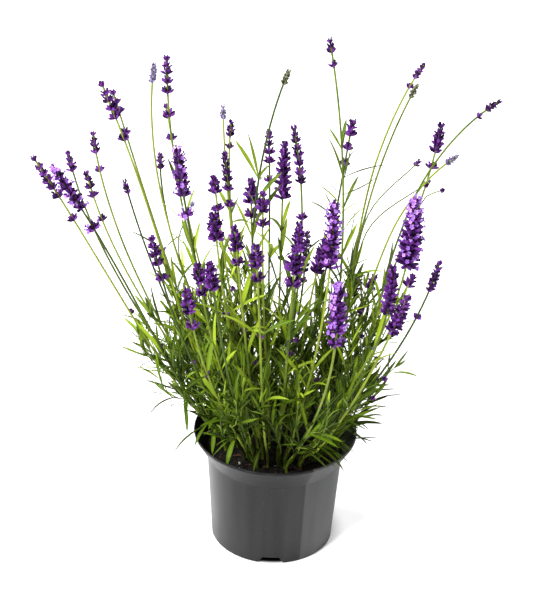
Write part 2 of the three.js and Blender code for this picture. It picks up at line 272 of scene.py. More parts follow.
def pot_outline():
    """The closed outline of the pot's wall and floor, as radius and height, from the axis out."""
    lip_foot = pot_height - LIP_HEIGHT
    inner_rim = rim_radius - POT_WALL - 0.3 * MM
    corners = [
        ((0, 0), 0),
        ((BOSS_RADIUS, 0), 0.8 * MM),
        ((BOSS_RADIUS + 4 * MM, FLOOR_LIFT), 0.8 * MM),
        ((foot_radius - FOOT_RING - 2.6 * MM, FLOOR_LIFT), 0.8 * MM),
        ((foot_radius - FOOT_RING, 0), 0.6 * MM),
        ((foot_radius, 0), 0.9 * MM),
        ((collar_foot_radius, collar_foot), 0.9 * MM),
        ((rim_radius - 0.5 * MM, lip_foot), 0.5 * MM),
        ((rim_radius, lip_foot + 0.7 * MM), 0.4 * MM),
        ((rim_radius, pot_height), 0.9 * MM),
        ((inner_rim, pot_height), 0.7 * MM),
        ((inner_rim, lip_foot + POT_WALL / 2), 0.4 * MM),
        ((collar_foot_radius - POT_WALL, collar_foot + POT_WALL / 2), 0.8 * MM),
        ((foot_radius - POT_WALL, FLOOR_LIFT + POT_FLOOR), 1.2 * MM),
        ((BOSS_RADIUS + 3 * MM, FLOOR_LIFT + POT_FLOOR), 0.8 * MM),
        ((BOSS_RADIUS - 1 * MM, POT_FLOOR), 0.8 * MM),
        ((0, POT_FLOOR), 0),
    ]
    outline = [list(corners[0][0])]
    for (before, _), (corner, radius), (after, _) in zip(corners, corners[1:], corners[2:]):
        outline.extend(rounded_corner(before, corner, after, radius))
    outline.append(list(corners[-1][0]))
    return outline


def pot_angles():
    """Angles of the pot's sides, with one on each edge of each notch."""
    even = np.linspace(0, 2 * math.pi, POT_SIDES, endpoint=False)
    edges = [
        quarter * math.pi / 2 + sign * half / foot_radius
        for quarter in range(4)
        for half in (NOTCH_FOOT_HALF, NOTCH_TOP_HALF)
        for sign in (-1, 1)
    ]
    apart = [min(abs((a - e + math.pi) % (2 * math.pi) - math.pi) for e in edges) for a in even]
    clear = [angle for angle, gap in zip(even, apart) if gap > 0.012]
    return np.sort(np.mod(np.array(clear + edges), 2 * math.pi))


def notch_rise(angle):
    """How far the foot is cut away at an angle round the pot."""
    aside = (angle + math.pi / 4) % (math.pi / 2) - math.pi / 4
    reach = abs(aside) * foot_radius
    share = (NOTCH_FOOT_HALF - reach) / (NOTCH_FOOT_HALF - NOTCH_TOP_HALF)
    return NOTCH_HEIGHT * min(max(share, 0), 1)


def turned_faces(sides, rings):
    """The faces of a turned body: its first centre, its rings of places, and its last centre."""
    faces = []
    last = 1 + (rings - 1) * sides
    for side in range(sides):
        beside = (side + 1) % sides
        faces.append((0, 1 + beside, 1 + side))
        for low in range(1, last, sides):
            high = low + sides
            faces.append((low + side, low + beside, high + beside, high + side))
        faces.append((last + side, last + beside, last + sides))
    return faces


def turned_pot():
    """The closed body of the pot, with its foot ring cut away at the notches."""
    outline = pot_outline()
    angles = pot_angles()
    places = [(0, 0, outline[0][1])]
    for radius, height in outline[1:-1]:
        for angle in angles:
            is_foot = foot_radius - FOOT_RING - 1.5 * MM < radius < foot_radius + 1 * MM
            level = max(height, notch_rise(angle)) if is_foot and height < NOTCH_HEIGHT else height
            places.append((radius * math.cos(angle), radius * math.sin(angle), level))
    places.append((0, 0, outline[-1][1]))
    return np.array(places), turned_faces(len(angles), len(outline) - 2)


def pot_plastic(name, shine):
    """Dark grey satin plastic with faint upright flow streaks and scuffs. On one side the wall is
    painted paler and duller from a sharp upright edge, a painted reflection of light on that side."""
    made = Finish(name)
    around = made.places()
    streaks = made.grain(made.places((90, 90, 3)), 1.0, detail=4)
    broad = made.grain(made.places((22, 22, 1.5)), 1.0, detail=2)
    mottle = made.grain(around, 260, detail=5, roughness=0.7)
    scuffs = made.between(made.grain(made.places((300, 300, 1400)), 1.0, detail=3), 0.62, 0.72)
    tone = made.between(streaks * 0.6 + broad * 0.4, 0.34, 0.66)
    dark = made.mix(tone, (0.004, 0.004, 0.0043), (0.014, 0.014, 0.015))
    # The paler colour of the painted reflection on one side of the wall.
    pale = made.mix(tone, (0.040, 0.040, 0.042), (0.066, 0.066, 0.069))
    rightward, backward = made.axis(around, 0), made.axis(around, 1)
    bearing = made.node(
        "ShaderNodeMath", {"operation": "ARCTAN2"}, {0: rightward, 1: -1 * backward}
    )
    painted_reflection = made.between(bearing, REFLECTION_FROM, REFLECTION_FROM + 0.03)
    painted_reflection = painted_reflection * (1 - made.between(bearing, REFLECTION_TO - 0.5, REFLECTION_TO))
    colour = made.mix(painted_reflection, dark, pale)
    dusty = made.mix(scuffs * 0.1, colour, (0.16, 0.155, 0.15))
    height = streaks * 0.4 + mottle * 0.6
    return made.coat(
        Base_Color=dusty,
        Roughness=0.30 + tone * 0.12 + mottle * 0.08 + painted_reflection * 0.12,
        Normal=made.bump(height, 0.25, 0.0004),
        Specular_IOR_Level=shine,
    )


pot_growth = Growth()
pot_places, pot_faces = turned_pot()
pot_growth.add(pot_places, pot_faces)
pot_growth.finishes = [int(pot_places[list(face), 2].mean() > collar_foot) for face in pot_faces]
wall_plastic = pot_plastic("pot_wall_plastic", 0.24)
collar_plastic = pot_plastic("pot_collar_plastic", 0.13)
pot_plastics = [wall_plastic, collar_plastic]
nursery_pot = pot_growth.piece("nursery_pot", pot_plastics, crisp=38)
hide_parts("pot")


# ------------------------------------------------------------------ the compost
# Moist peat compost, filled by hand to a little under the rim: a crumbly dark mound with bark
# chips and a few pale grains lying on it.

CRUMBS = 1500
BARK_CHIPS = 130
PALE_GRAINS = 26
BED_SIDES = 96
BED_RINGS = 30
SOIL_CLEARANCE = 0.4 * MM

soil_low, soil_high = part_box("potting_soil")
soil_points = cad_points("potting_soil")
soil_reach = np.hypot(soil_points[:, 0], soil_points[:, 1])
soil_edge = soil_reach.max()
soil_edge_height = soil_points[soil_reach > soil_edge - 0.5 * MM][:, 2].max()


def soil_surface(x, y):
    """The height of the raked mound, with its lumps, at a place."""
    out = min(math.hypot(x, y) / soil_edge, 1)
    mound = soil_edge_height + (soil_high.z - soil_edge_height) * (1 - out * out)
    lumps = math.sin(x * 310 + 1.3) * math.sin(y * 270 + 0.4)
    lumps += 0.6 * math.sin(x * 700 + y * 520) * math.sin(y * 660 - x * 380 + 2)
    return mound + 0.9 * MM * lumps


def compost_bed():
    """The closed body of the compost, its top raked into lumps. Its rings run from the top down,
    the other way from the pot's, so its faces are turned over."""
    floor_height = soil_low.z
    places = [(0, 0, soil_surface(0, 0))]
    angles = [2 * math.pi * side / BED_SIDES for side in range(BED_SIDES)]
    for ring in range(1, BED_RINGS + 1):
        radius = soil_edge * ring / BED_RINGS
        for angle in angles:
            x, y = radius * math.cos(angle), radius * math.sin(angle)
            places.append((x, y, soil_surface(x, y)))
    foot = foot_radius - POT_WALL - SOIL_CLEARANCE
    lift = FLOOR_LIFT + POT_FLOOR + SOIL_CLEARANCE
    lower_rings = [
        (collar_foot_radius - POT_WALL - SOIL_CLEARANCE, collar_foot),
        (foot - 0.2 * MM, lift),
        (BOSS_RADIUS + 2.5 * MM, lift),
        (BOSS_RADIUS - 1.5 * MM, floor_height),
    ]
    for radius, height in lower_rings:
        for angle in angles:
            places.append((radius * math.cos(angle), radius * math.sin(angle), height))
    places.append((0, 0, floor_height))
    outward = turned_faces(BED_SIDES, BED_RINGS + len(lower_rings))
    return np.array(places), [face[:1] + face[:0:-1] for face in outward]


LUMP_CORNERS = np.array(
    [
        (0, 0, 1), (0.9, 0, 0.35), (0.28, 0.85, 0.35), (-0.73, 0.53, 0.35), (-0.73, -0.53, 0.35),
        (0.28, -0.85, 0.35), (0.73, 0.53, -0.35), (-0.28, 0.85, -0.35), (-0.9, 0, -0.35),
        (-0.28, -0.85, -0.35), (0.73, -0.53, -0.35), (0, 0, -1),
    ]
)
LUMP_FACES = [
    (0, 1, 2), (0, 2, 3), (0, 3, 4), (0, 4, 5), (0, 5, 1),
    (1, 6, 2), (2, 7, 3), (3, 8, 4), (4, 9, 5), (5, 10, 1),
    (6, 7, 2), (7, 8, 3), (8, 9, 4), (9, 10, 5), (10, 6, 1),
    (11, 7, 6), (11, 8, 7), (11, 9, 8), (11, 10, 9), (11, 6, 10),
]


def lump(random, place, size, stretch):
    """One crumb: an uneven twelve-cornered grain turned at random."""
    uneven = random.uniform(0.7, 1.25, (len(LUMP_CORNERS), 1))
    corners = LUMP_CORNERS * uneven * size * np.array(stretch)
    turn, tip = random.uniform(0, 2 * math.pi), random.uniform(-0.6, 0.6)
    ct, st, cp, sp = math.cos(turn), math.sin(turn), math.cos(tip), math.sin(tip)
    spin = np.array([[ct, -st, 0], [st, ct, 0], [0, 0, 1]])
    lean = np.array([[1, 0, 0], [0, cp, -sp], [0, sp, cp]])
    return corners @ (spin @ lean).T + np.array(place)


def scatter(growth, random, count, size_range, stretch, finish):
    for _ in range(count):
        radius = (soil_edge - 2.5 * MM) * math.sqrt(random.uniform(0, 1))
        angle = random.uniform(0, 2 * math.pi)
        x, y = radius * math.cos(angle), radius * math.sin(angle)
        size = random.uniform(*size_range)
        place = (x, y, soil_surface(x, y) + size * 0.2)
        marks = np.zeros((len(LUMP_CORNERS), 4))
        marks[:, 1] = random.uniform(0, 1)
        growth.add(lump(random, place, size, stretch), LUMP_FACES, finish, marks)


def compost_finish():
    made = Finish("compost")
    fine = made.grain(made.places(), 900, detail=6, roughness=0.75)
    coarse = made.grain(made.places(), 160, detail=3)
    colour = made.ramp(
        fine * 0.6 + coarse * 0.4,
        (0.3, (0.0012, 0.0009, 0.0007)),
        (0.52, (0.0045, 0.003, 0.0022)),
        (0.7, (0.022, 0.014, 0.008)),
    )
    return made.coat(
        Base_Color=colour,
        Roughness=0.75 + fine * 0.25,
        Normal=made.bump(fine, 0.9, 0.0012),
        Specular_IOR_Level=0.25,
    )


def crumb_finish(name, dark, light):
    made = Finish(name)
    growth = made.node("ShaderNodeAttribute", {"attribute_name": "growth"}, output=1)
    tone = made.axis(growth, 1)
    fine = made.grain(made.places(), 1400, detail=4)
    return made.coat(
        Base_Color=made.mix(made.between(tone * 0.7 + fine * 0.5, 0.2, 1.0), dark, light),
        Roughness=0.8 + fine * 0.15,
        Normal=made.bump(fine, 0.7, 0.0006),
        Specular_IOR_Level=0.25,
    )


soil_random = np.random.default_rng(11)
soil_growth = Growth()
soil_growth.add(*compost_bed())
scatter(soil_growth, soil_random, CRUMBS, (0.5 * MM, 1.9 * MM), (1, 1, 0.8), 1)
scatter(soil_growth, soil_random, BARK_CHIPS, (1.6 * MM, 3.4 * MM), (1.3, 0.45, 0.25), 2)
scatter(soil_growth, soil_random, PALE_GRAINS, (0.6 * MM, 1.2 * MM), (1, 1, 0.9), 3)
compost = soil_growth.piece(
    "compost",
    [
        compost_finish(),
        crumb_finish("peat_crumb", (0.002, 0.0013, 0.001), (0.016, 0.010, 0.006)),
        crumb_finish("bark_chip", (0.02, 0.009, 0.005), (0.11, 0.05, 0.026)),
        crumb_finish("pale_grain", (0.16, 0.14, 0.11), (0.42, 0.39, 0.33)),
    ],
)
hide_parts("potting_soil")


# ------------------------------------------------------------------ the flower stalks
# Fifty thin green stems rising from the woody base. Low down each has pairs of narrow leaves
# with young shoots in their axils; at the top it carries a spike of violet calyxes in whorls.

STEM_FOOT_RADIUS = 1.15 * MM
STEM_TOP_RADIUS = 0.92 * MM
FOOT_SUNK_BY = 4 * MM
POINTED_END = 0.3 * MM
CAD_WHORL_RADIUS = 4 * MM
SPIKE_LEAD = 5 * MM
WHORL_LEAD = 3 * MM
UP = np.array([0.0, 0.0, 1.0])


def distances_along(points):
    """How far each point of a line is from its first, along the line."""
    return np.concatenate([[0], np.cumsum(np.linalg.norm(np.diff(points, axis=0), axis=1))])


def out_of(side, other, angle):
    """The direction out of a stem at an angle round it."""
    return side * math.cos(angle) + other * math.sin(angle)


class Stem:
    """A smooth centre line through points, with a side vector carried along it."""

    def __init__(self, points, samples=80):
        points = np.array(points, float)
        knots = distances_along(points)
        slopes = np.gradient(points, knots, axis=0)
        at = np.linspace(0, knots[-1], samples)
        span = np.clip(np.searchsorted(knots, at, side="right") - 1, 0, len(knots) - 2)
        width = (knots[span + 1] - knots[span])[:, None]
        u = (at - knots[span])[:, None] / width
        first, last = points[span], points[span + 1]
        self.line = (
            (2 * u**3 - 3 * u**2 + 1) * first
            + (u**3 - 2 * u**2 + u) * width * slopes[span]
            + (3 * u**2 - 2 * u**3) * last
            + (u**3 - u**2) * width * slopes[span + 1]
        )
        self.distance = distances_along(self.line)
        self.length = self.distance[-1]
        self.heading = np.gradient(self.line, self.distance, axis=0)
        self.heading /= np.linalg.norm(self.heading, axis=1)[:, None]
        side = unit(np.cross(self.heading[0], [0.3, 0.9, 0.1]))
        sides = []
        for heading in self.heading:
            side = unit(side - heading * (side @ heading))
            sides.append(side)
        self.side = np.array(sides)

    def at(self, distance):
        """The place, heading, side and other side at a distance from the foot."""
        found = [
            np.array([np.interp(distance, self.distance, values[:, i]) for i in range(3)])
            for values in (self.line, self.heading, self.side)
        ]
        place, heading, side = found[0], unit(found[1]), unit(found[2])
        return place, heading, side, np.cross(heading, side)


def cad_line(node):
    """The centre line of a CAD stem from its foot to its tip, and its radius at each point.
    Walks the mesh ring by ring from the tip."""
    raw = cad_points(node)
    keys = {}
    merged = [keys.setdefault(tuple(np.round(p * 1e5).astype(int)), len(keys)) for p in raw]
    places = np.zeros((len(keys), 3))
    places[merged] = raw
    beside = [set() for _ in range(len(keys))]
    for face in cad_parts[node].data.polygons:
        corners = [merged[i] for i in face.vertices]
        for i, corner in enumerate(corners):
            beside[corner].update((corners[i - 1], corners[(i + 1) % len(corners)]))
    foot = places[places[:, 2].argmin()]
    tip = int(np.linalg.norm(places - foot, axis=1).argmax())
    ring, seen = {tip}, {tip}
    points, radii = [], []
    while ring:
        around = places[sorted(ring)]
        points.append(around.mean(0))
        radii.append(np.linalg.norm(around - around.mean(0), axis=1).mean())
        ring = set().union(*(beside[i] for i in ring)) - seen
        seen |= ring
    if radii[-1] < POINTED_END and len(radii) > 2:
        points, radii = points[:-1], radii[:-1]
    return np.array(points[::-1]), np.array(radii[::-1])


def tube_faces(sides, steps):
    """The faces round a tube, from ring to ring."""
    faces = []
    for low in range(0, steps * sides, sides):
        high = low + sides
        for i in range(sides):
            j = (i + 1) % sides
            faces.append((low + i, low + j, high + j, high + i))
    return faces


def pointed_faces(sides, rings):
    """The faces of a closed tube that ends in a point."""
    last = (rings - 1) * sides
    point = [(last + i, last + (i + 1) % sides, last + sides) for i in range(sides)]
    return [tuple(range(sides))[::-1], *tube_faces(sides, rings - 1), *point]


def stem_tube(growth, stem, start, end, low_radius, high_radius, finish, tone, sides=5):
    """The stem itself from one distance to another, closed at both ends."""
    rings = max(4, int((end - start) / (9 * MM)))
    angles = np.linspace(0, 2 * math.pi, sides, endpoint=False)
    places, marks = [], []
    for ring in range(rings + 1):
        share = ring / rings
        place, _, side, other = stem.at(start + (end - start) * share)
        radius = low_radius + (high_radius - low_radius) * share
        for angle in angles:
            places.append(place + out_of(side, other, angle) * radius)
            marks.append((share, tone, 0, 0))
    ends = [tuple(range(sides))[::-1], tuple(rings * sides + i for i in range(sides))]
    growth.add(np.array(places), ends + tube_faces(sides, rings), finish, np.array(marks))


LEAF_OUTLINE = (0.34, 0.58, 0.86, 1.0, 0.98, 0.84, 0.55, 0)
BRACT_OUTLINE = (0.6, 1.0, 0.7, 0)
LOBE_OUTLINE = (0.5, 0.95, 1.0, 0)
BLADE_FACES = {n: pointed_faces(4, n - 1) for n in (len(LEAF_OUTLINE), len(BRACT_OUTLINE))}


def blade_line(root, forward, face, length, droop, stations):
    """The middle line of a blade that bends away from its upper side, and that side along it."""
    bend = (droop * np.linspace(0, 1, stations) ** 1.2)[:, None]
    heading = forward * np.cos(bend) - face * np.sin(bend)
    above = face * np.cos(bend) + forward * np.sin(bend)
    steps = heading[:-1] * length / (stations - 1)
    return root + np.concatenate([np.zeros((1, 3)), np.cumsum(steps, axis=0)]), above


def blade(growth, root, forward, face, length, width, droop, fold, twist, outline, finish, tone):
    """A thin folded blade, such as a leaf, a bract or a petal lobe. It starts along forward with
    its upper side to face, and bends away from that side by droop."""
    share = np.linspace(0, 1, len(outline))
    side = unit(np.cross(forward, face))
    face = np.cross(side, forward)
    centre, above = blade_line(root, forward, face, length, droop, len(outline))
    turn = (twist * share)[:, None]
    across = side * np.cos(turn) + above * np.sin(turn)
    above = above * np.cos(turn) - side * np.sin(turn)
    half = (np.array(outline) * width / 2)[:, None]
    thick = 0.09 * half + 0.05 * MM
    left = centre - across * half + above * half * fold
    right = centre + across * half + above * half * fold
    rings = np.stack([left, centre - above * thick, right, centre + above * thick * 0.6], axis=1)
    places = np.concatenate([rings[:-1].reshape(-1, 3), centre[-1:]])
    marks = np.empty((len(places), 4))
    marks[:, 0] = np.append(np.repeat(share[:-1], 4), 1)
    marks[:, 1] = tone
    marks[:, 2] = np.append(np.tile([1, 0, 1, 0], len(outline) - 1), 0)
    marks[:, 3] = np.append(np.tile([0.5, 1, 0.5, 0], len(outline) - 1), 0.5)
    growth.add(places, BLADE_FACES[len(outline)], finish, marks)


CALYX_PROFILE = ((0.0, 0.35), (0.2, 0.72), (0.6, 1.0), (0.88, 0.8))
CALYX_SIDES = 6
CALYX_FACES = pointed_faces(CALYX_SIDES, len(CALYX_PROFILE))
CALYX_TURN = np.linspace(0, 2 * math.pi, CALYX_SIDES, endpoint=False)
CALYX_RIB = np.where(np.arange(CALYX_SIDES) % 2 == 0, 1.1, 0.86)


def calyx(growth, root, axis, length, girth, finish, tone):
    """One ribbed calyx: a narrow barrel that swells and then closes to a point."""
    side = unit(np.cross(axis, [0.21, 0.35, 0.91]))
    other = np.cross(axis, side)
    around = np.cos(CALYX_TURN)[:, None] * side + np.sin(CALYX_TURN)[:, None] * other
    rings = [
        root + axis * length * along + around * (CALYX_RIB * radius * girth / 2)[:, None]
        for along, radius in CALYX_PROFILE
    ]
    places = np.concatenate([*rings, [root + axis * length]])
    marks = np.zeros((len(places), 4))
    marks[:, 0] = [along for along, _ in CALYX_PROFILE for _ in range(CALYX_SIDES)] + [1]
    marks[:, 1] = tone
    marks[:, 2] = np.append(np.tile(CALYX_RIB > 1, len(CALYX_PROFILE)), 0)
    growth.add(places, CALYX_FACES, finish, marks)


COROLLA_LOBES = (
    # turn round the mouth in degrees, length and width in millimetres, how far it bends back
    (62, 2.5, 2.2, 0.9),
    (118, 2.5, 2.2, 0.9),
    (205, 1.8, 1.7, 1.5),
    (270, 2.0, 1.8, 1.6),
    (335, 1.8, 1.7, 1.5),
)


def corolla(growth, root, axis, up, size, finish, tone, random):
    """An open flower: a short tube with two broad upper lobes and three small lower ones."""
    side = unit(np.cross(axis, up))
    over = np.cross(side, axis)
    mouth = root + axis * 1.8 * MM * size
    turn = np.linspace(0, 2 * math.pi, 5, endpoint=False)[:, None]
    ring = np.cos(turn) * side + np.sin(turn) * over
    places = np.concatenate([root + ring * 0.5 * MM * size, mouth + ring * 0.9 * MM * size])
    marks = np.zeros((10, 4))
    marks[5:, 0] = 0.35
    marks[:, 1] = tone
    faces = [*tube_faces(5, 1), (4, 3, 2, 1, 0), (5, 6, 7, 8, 9)]
    growth.add(places, faces, finish, marks)
    for degrees, length, width, back in COROLLA_LOBES:
        angle = math.radians(degrees + random.uniform(-9, 9))
        outward = out_of(side, over, angle)
        forward = unit(outward * 0.7 + axis * 0.7)
        start = mouth + outward * 0.7 * MM * size
        blade(
            growth, start, forward, unit(axis - outward * 0.2), length * MM * size,
            width * MM * size, back * random.uniform(0.6, 1.1), 0.25, random.uniform(-0.3, 0.3),
            LOBE_OUTLINE, finish, tone,
        )


# How the spikes differ: the gap between whorls in millimetres, the calyxes on each side of a
# whorl in its outer and inner row, how far the outer ones lean out in degrees, a calyx's length
# and girth, the share of calyxes with an open corolla, and how much the lowest whorls swell.
HABITS = {
    "spaced": (7.4, 4, 2, 54, 6.2, 2.2, 0.0, 1.0),
    "dense": (5.7, 4, 2, 58, 6.8, 2.5, 0.0, 1.04),
    "thick": (5.9, 4, 3, 64, 7.9, 2.8, 0.03, 1.04),
    "slender": (4.7, 3, 1, 44, 5.4, 2.1, 0.0, 1.0),
    "blooming": (6.0, 4, 3, 62, 7.2, 2.5, 0.36, 1.06),
    "full_bloom": (5.6, 4, 3, 68, 8.0, 2.6, 0.45, 1.3),
    "loose_bloom": (7.0, 4, 2, 60, 6.6, 2.5, 0.42, 1.05),
    "young": (3.4, 3, 1, 40, 4.2, 2.0, 0.0, 1.0),
    "bud": (3.0, 3, 1, 34, 3.8, 2.1, 0.0, 1.0),
}
HABIT_OF = {
    "spaced": (1, 4, 6, 7, 9, 10, 13, 21, 26, 29),
    "dense": (14, 15, 16, 18, 22, 24, 25, 30, 34, 36, 40, 43, 44, 46, 48, 49),
    "thick": (17, 23, 28, 31),
    "slender": (3, 5, 11, 19, 32, 35, 42),
    "blooming": (33, 45),
    "full_bloom": (41,),
    "loose_bloom": (2, 12),
    "young": (8, 20, 37, 39, 47, 50),
    "bud": (27, 38),
}
PALE_SPIKES = (8, 20, 47)
GREEN_SPIKES = (27, 38)

# Leaf pairs high on a stalk, by stalk: how far up each stands.
HIGH_LEAVES = {
    6: (0.5,), 7: (0.55,), 12: (0.42,), 14: (0.6,), 17: (0.62,), 21: (0.58,), 22: (0.6,), 24: (0.64,),
    26: (0.56,), 27: (0.6, 0.72), 28: (0.6, 0.7), 30: (0.5,), 31: (0.62,), 32: (0.6,), 34: (0.64,),
    35: (0.42,), 36: (0.56, 0.68), 37: (0.4,), 38: (0.46,), 39: (0.38,), 41: (0.52,),
}

# A lone whorl under a spike, by stalk: how many millimetres below the spike it stands.
LOW_WHORLS = {13: 8, 32: 9, 36: 27, 37: 8, 39: 8}

# Side stems with a young head, by stalk: how far up it leaves, its tip in millimetres, its kind.
SPRIGS = {
    3: ((0.4, (-135, 20, 220), "bud"),),
    5: ((0.24, (-105, 10, 190), "bud"),),
    8: ((0.45, (-80, 40, 320), "bud"),),
    13: ((0.3, (-75, -40, 205), "bud"),),
    17: ((0.6, (-40, -60, 290), "bud"),),
    25: ((0.25, (-20, -30, 200), "bud"),),
    30: ((0.42, (15, -40, 230), "bud"),),
    33: ((0.2, (35, -45, 195), "bud"),),
    34: ((0.36, (10, -30, 210), "bud"),),
    37: ((0.48, (120, 70, 355), "young"), (0.44, (130, 70, 335), "young")),
    40: ((0.72, (145, 85, 320), "bud"),),
    42: ((0.3, (95, -40, 195), "bud"), (0.2, (85, -50, 180), "bud")),
    45: ((0.22, (40, -60, 180), "young"),),
    46: ((0.6, (75, 20, 230), "young"),),
    48: ((0.4, (75, 15, 205), "bud"),),
}

# Long single leaves, by stalk: how far up each leaves, its tip, width, arch and tone. Millimetres.
LONG_LEAVES = {
    35: (
        (0.68, (90, 10, 375), 4.6, 0.4, 0.08), (0.64, (80, 15, 365), 4.2, -0.5, 0.12),
        (0.64, (35, 10, 370), 3.4, -0.9, 0.1), (0.67, (55, 20, 390), 2.6, -0.2, 0.2),
        (0.5, (60, 15, 335), 3.4, -0.5, 0.4),
    ),
    37: ((0.38, (65, 30, 300), 3.6, 0.2, 0.15),),
    38: ((0.44, (70, 60, 290), 4.2, 0.2, 0.12),),
    39: ((0.46, (95, 10, 305), 4.2, -0.3, 0.1),),
}
HEAD_LENGTH = {"young": 9 * MM, "bud": 6 * MM}

STEM, LEAF, CALYX, PETAL = 0, 1, 2, 3


def whorl(growth, stem, distance, turn, habit, size, random, last=False):
    """One whorl of a spike: a bract and a fan of calyxes on each of two opposite sides."""
    _, outer, inner, lean_out, length, girth, open_share, _ = habit
    place, heading, side, other = stem.at(distance)
    for opposite in (0, math.pi):
        middle = turn + opposite
        outward = out_of(side, other, middle)
        blade(
            growth, place + outward * 0.5 * MM, unit(outward * 0.8 + heading * 0.5), heading,
            3.6 * MM * size, 2.6 * MM * size, 0.3, 0.35, 0, BRACT_OUTLINE, LEAF,
            random.uniform(0.75, 1),
        )
        for count, tilt, lift in ((outer, lean_out, 0.0), (inner, lean_out * 0.45, 1.2 * MM)):
            for i in range(count):
                fan = (i + 0.5) / count * 2 - 1
                angle = middle + math.radians(72 * fan + random.uniform(-9, 9))
                lean = math.radians(tilt * (0.55 if last else 1) + random.uniform(-9, 9))
                outward = out_of(side, other, angle)
                axis = unit(heading * math.cos(lean) + outward * math.sin(lean))
                up_stem = lift + random.uniform(-0.5, 0.5) * MM
                root = place + outward * 0.8 * MM + heading * up_stem
                long = length * MM * size * random.uniform(0.84, 1.1)
                tone = random.uniform(0, 1)
                round_ = girth * MM * size * random.uniform(0.9, 1.1)
                calyx(growth, root, axis, long, round_, CALYX, tone)
                if random.uniform(0, 1) < open_share:
                    tip = root + axis * long * 0.86
                    opened = random.uniform(0.65, 0.95)
                    corolla(growth, tip, axis, heading, opened, PETAL, tone, random)


def spike(growth, stem, start, habit, random):
    """The flower spike from a distance up to the stem's tip."""
    gap, length, swell = habit[0], habit[4], habit[7]
    end = stem.length - length * MM * 0.8
    distance, turn = start + 1.5 * MM, random.uniform(0, math.pi)
    span = max(end - distance, 1 * MM)
    while distance < end - gap * MM * 0.4:
        share = (distance - start) / span
        size = swell - (swell - 0.68) * max(share - 0.35, 0) / 0.65
        whorl(growth, stem, distance, turn, habit, size, random)
        distance += gap * MM * (1.14 - 0.4 * share) * random.uniform(0.92, 1.08)
        turn += math.pi / 2
    whorl(growth, stem, end, turn, habit, 0.7, random, last=True)


RIM_CLEARANCE = 3 * MM
LEAF_LIFTS = (0, 14, 28, 42, 56)
SHOOT_LEAF = 26 * MM


def keeps_clear(line):
    """Whether a leaf's middle line stays off the compost and either inside the pot's wall or
    over its rim."""
    reach = np.hypot(line[:, 0], line[:, 1])
    if (line[2:, 2] < soil_edge_height + 2 * MM).any():
        return False
    near_rim = line[:, 2] < pot_height + 2 * MM
    return not (near_rim & (reach > soil_edge - RIM_CLEARANCE)).any()


def leaf(growth, place, heading, outward, lean, length, width, droop, random, tone):
    """One narrow leaf that leaves its stem at lean degrees. It is held more upright where it
    would run into the pot, and left out if even that doesn't clear it."""
    fold, twist = random.uniform(0.15, 0.5), random.uniform(-0.8, 0.8)
    for lift in LEAF_LIFTS:
        out = math.radians(lean - lift)
        forward = unit(heading * math.cos(out) + outward * math.sin(out))
        face = unit(heading * math.sin(out) - outward * math.cos(out))
        bend = droop * (1 - lift / 70)
        root = place + outward * 0.5 * MM
        line, _ = blade_line(root, forward, face, length, bend, len(LEAF_OUTLINE))
        if keeps_clear(line):
            blade(
                growth, root, forward, face, length, width, bend, fold, twist, LEAF_OUTLINE,
                LEAF, tone,
            )
            return


def leaf_tone_and_shade(height, random):
    """Leaves low in the clump are painted darker and those above brighter: partly the darker tone
    of old leaves, partly painted shade inside the clump.
    """
    # How high the leaf stands above the rim, used as painted light and shade.
    light = min(max((height - pot_height) / (110 * MM), 0), 1)
    return min(max(0.06 + 0.5 * light + random.uniform(-0.4, 0.4) * (0.45 + 0.55 * light), 0), 1)


def leaf_pair(growth, stem, distance, turn, length, width, lean, random, droop=(0.0, 0.8)):
    """Two narrow leaves on opposite sides of a node."""
    place, heading, side, other = stem.at(distance)
    for opposite in (0, math.pi):
        angle = turn + opposite + random.uniform(-0.3, 0.3)
        outward = out_of(side, other, angle)
        leaf(
            growth, place, heading, outward, lean + random.uniform(-13, 13),
            length * random.uniform(0.72, 1.12), width * random.uniform(0.8, 1.15),
            random.uniform(*droop), random, leaf_tone_and_shade(place[2], random),
        )


def laid_leaf(growth, root, tip, width, arch, tone):
    """A leaf from a root to a tip, arched between them."""
    chord = tip - root
    along = unit(chord)
    over = np.cross(unit(np.cross(along, UP)), along)
    start = arch * 0.45
    forward = along * math.cos(start) + over * math.sin(start)
    face = over * math.cos(start) - along * math.sin(start)
    length = np.linalg.norm(chord) * (1 + arch * arch / 20)
    blade(growth, root, forward, face, length, width, arch, 0.22, 0.25, LEAF_OUTLINE, LEAF, tone)


def side_shoot(growth, stem, distance, turn, length, random):
    """A thin young shoot from a leaf axil, curving up, with small crossed pairs of leaves."""
    place, heading, side, other = stem.at(distance)
    outward = out_of(side, other, turn)
    lean = random.uniform(0.5, 0.9)
    level = unit(np.array([outward[0], outward[1], 0.0]) + 1e-6)
    middle = place + unit(heading + outward * lean) * length * 0.45
    tip = middle + unit(heading * 0.5 + UP * 0.9 + level * random.uniform(0.0, 0.5)) * length * 0.6
    shoot = Stem([place, middle, tip], samples=20)
    if not keeps_clear(shoot.line[4:]):
        return
    tone = random.uniform(0, 1)
    stem_tube(growth, shoot, 0, shoot.length, 0.62 * MM, 0.38 * MM, STEM, tone, sides=4)
    along, turned = length * random.uniform(0.2, 0.35), random.uniform(0, math.pi)
    while along < shoot.length - 2 * MM:
        share = along / shoot.length
        size = SHOOT_LEAF * (0.75 + 0.45 * math.sin(math.pi * min(share + 0.15, 1)))
        leaf_pair(growth, shoot, along, turned, size, 2.5 * MM, 33 - 12 * share, random)
        along += random.uniform(8, 13) * MM
        turned += math.pi / 2
    top = SHOOT_LEAF * 0.75
    leaf_pair(growth, shoot, shoot.length, turned, top, 2.1 * MM, 16, random, (-0.1, 0.3))


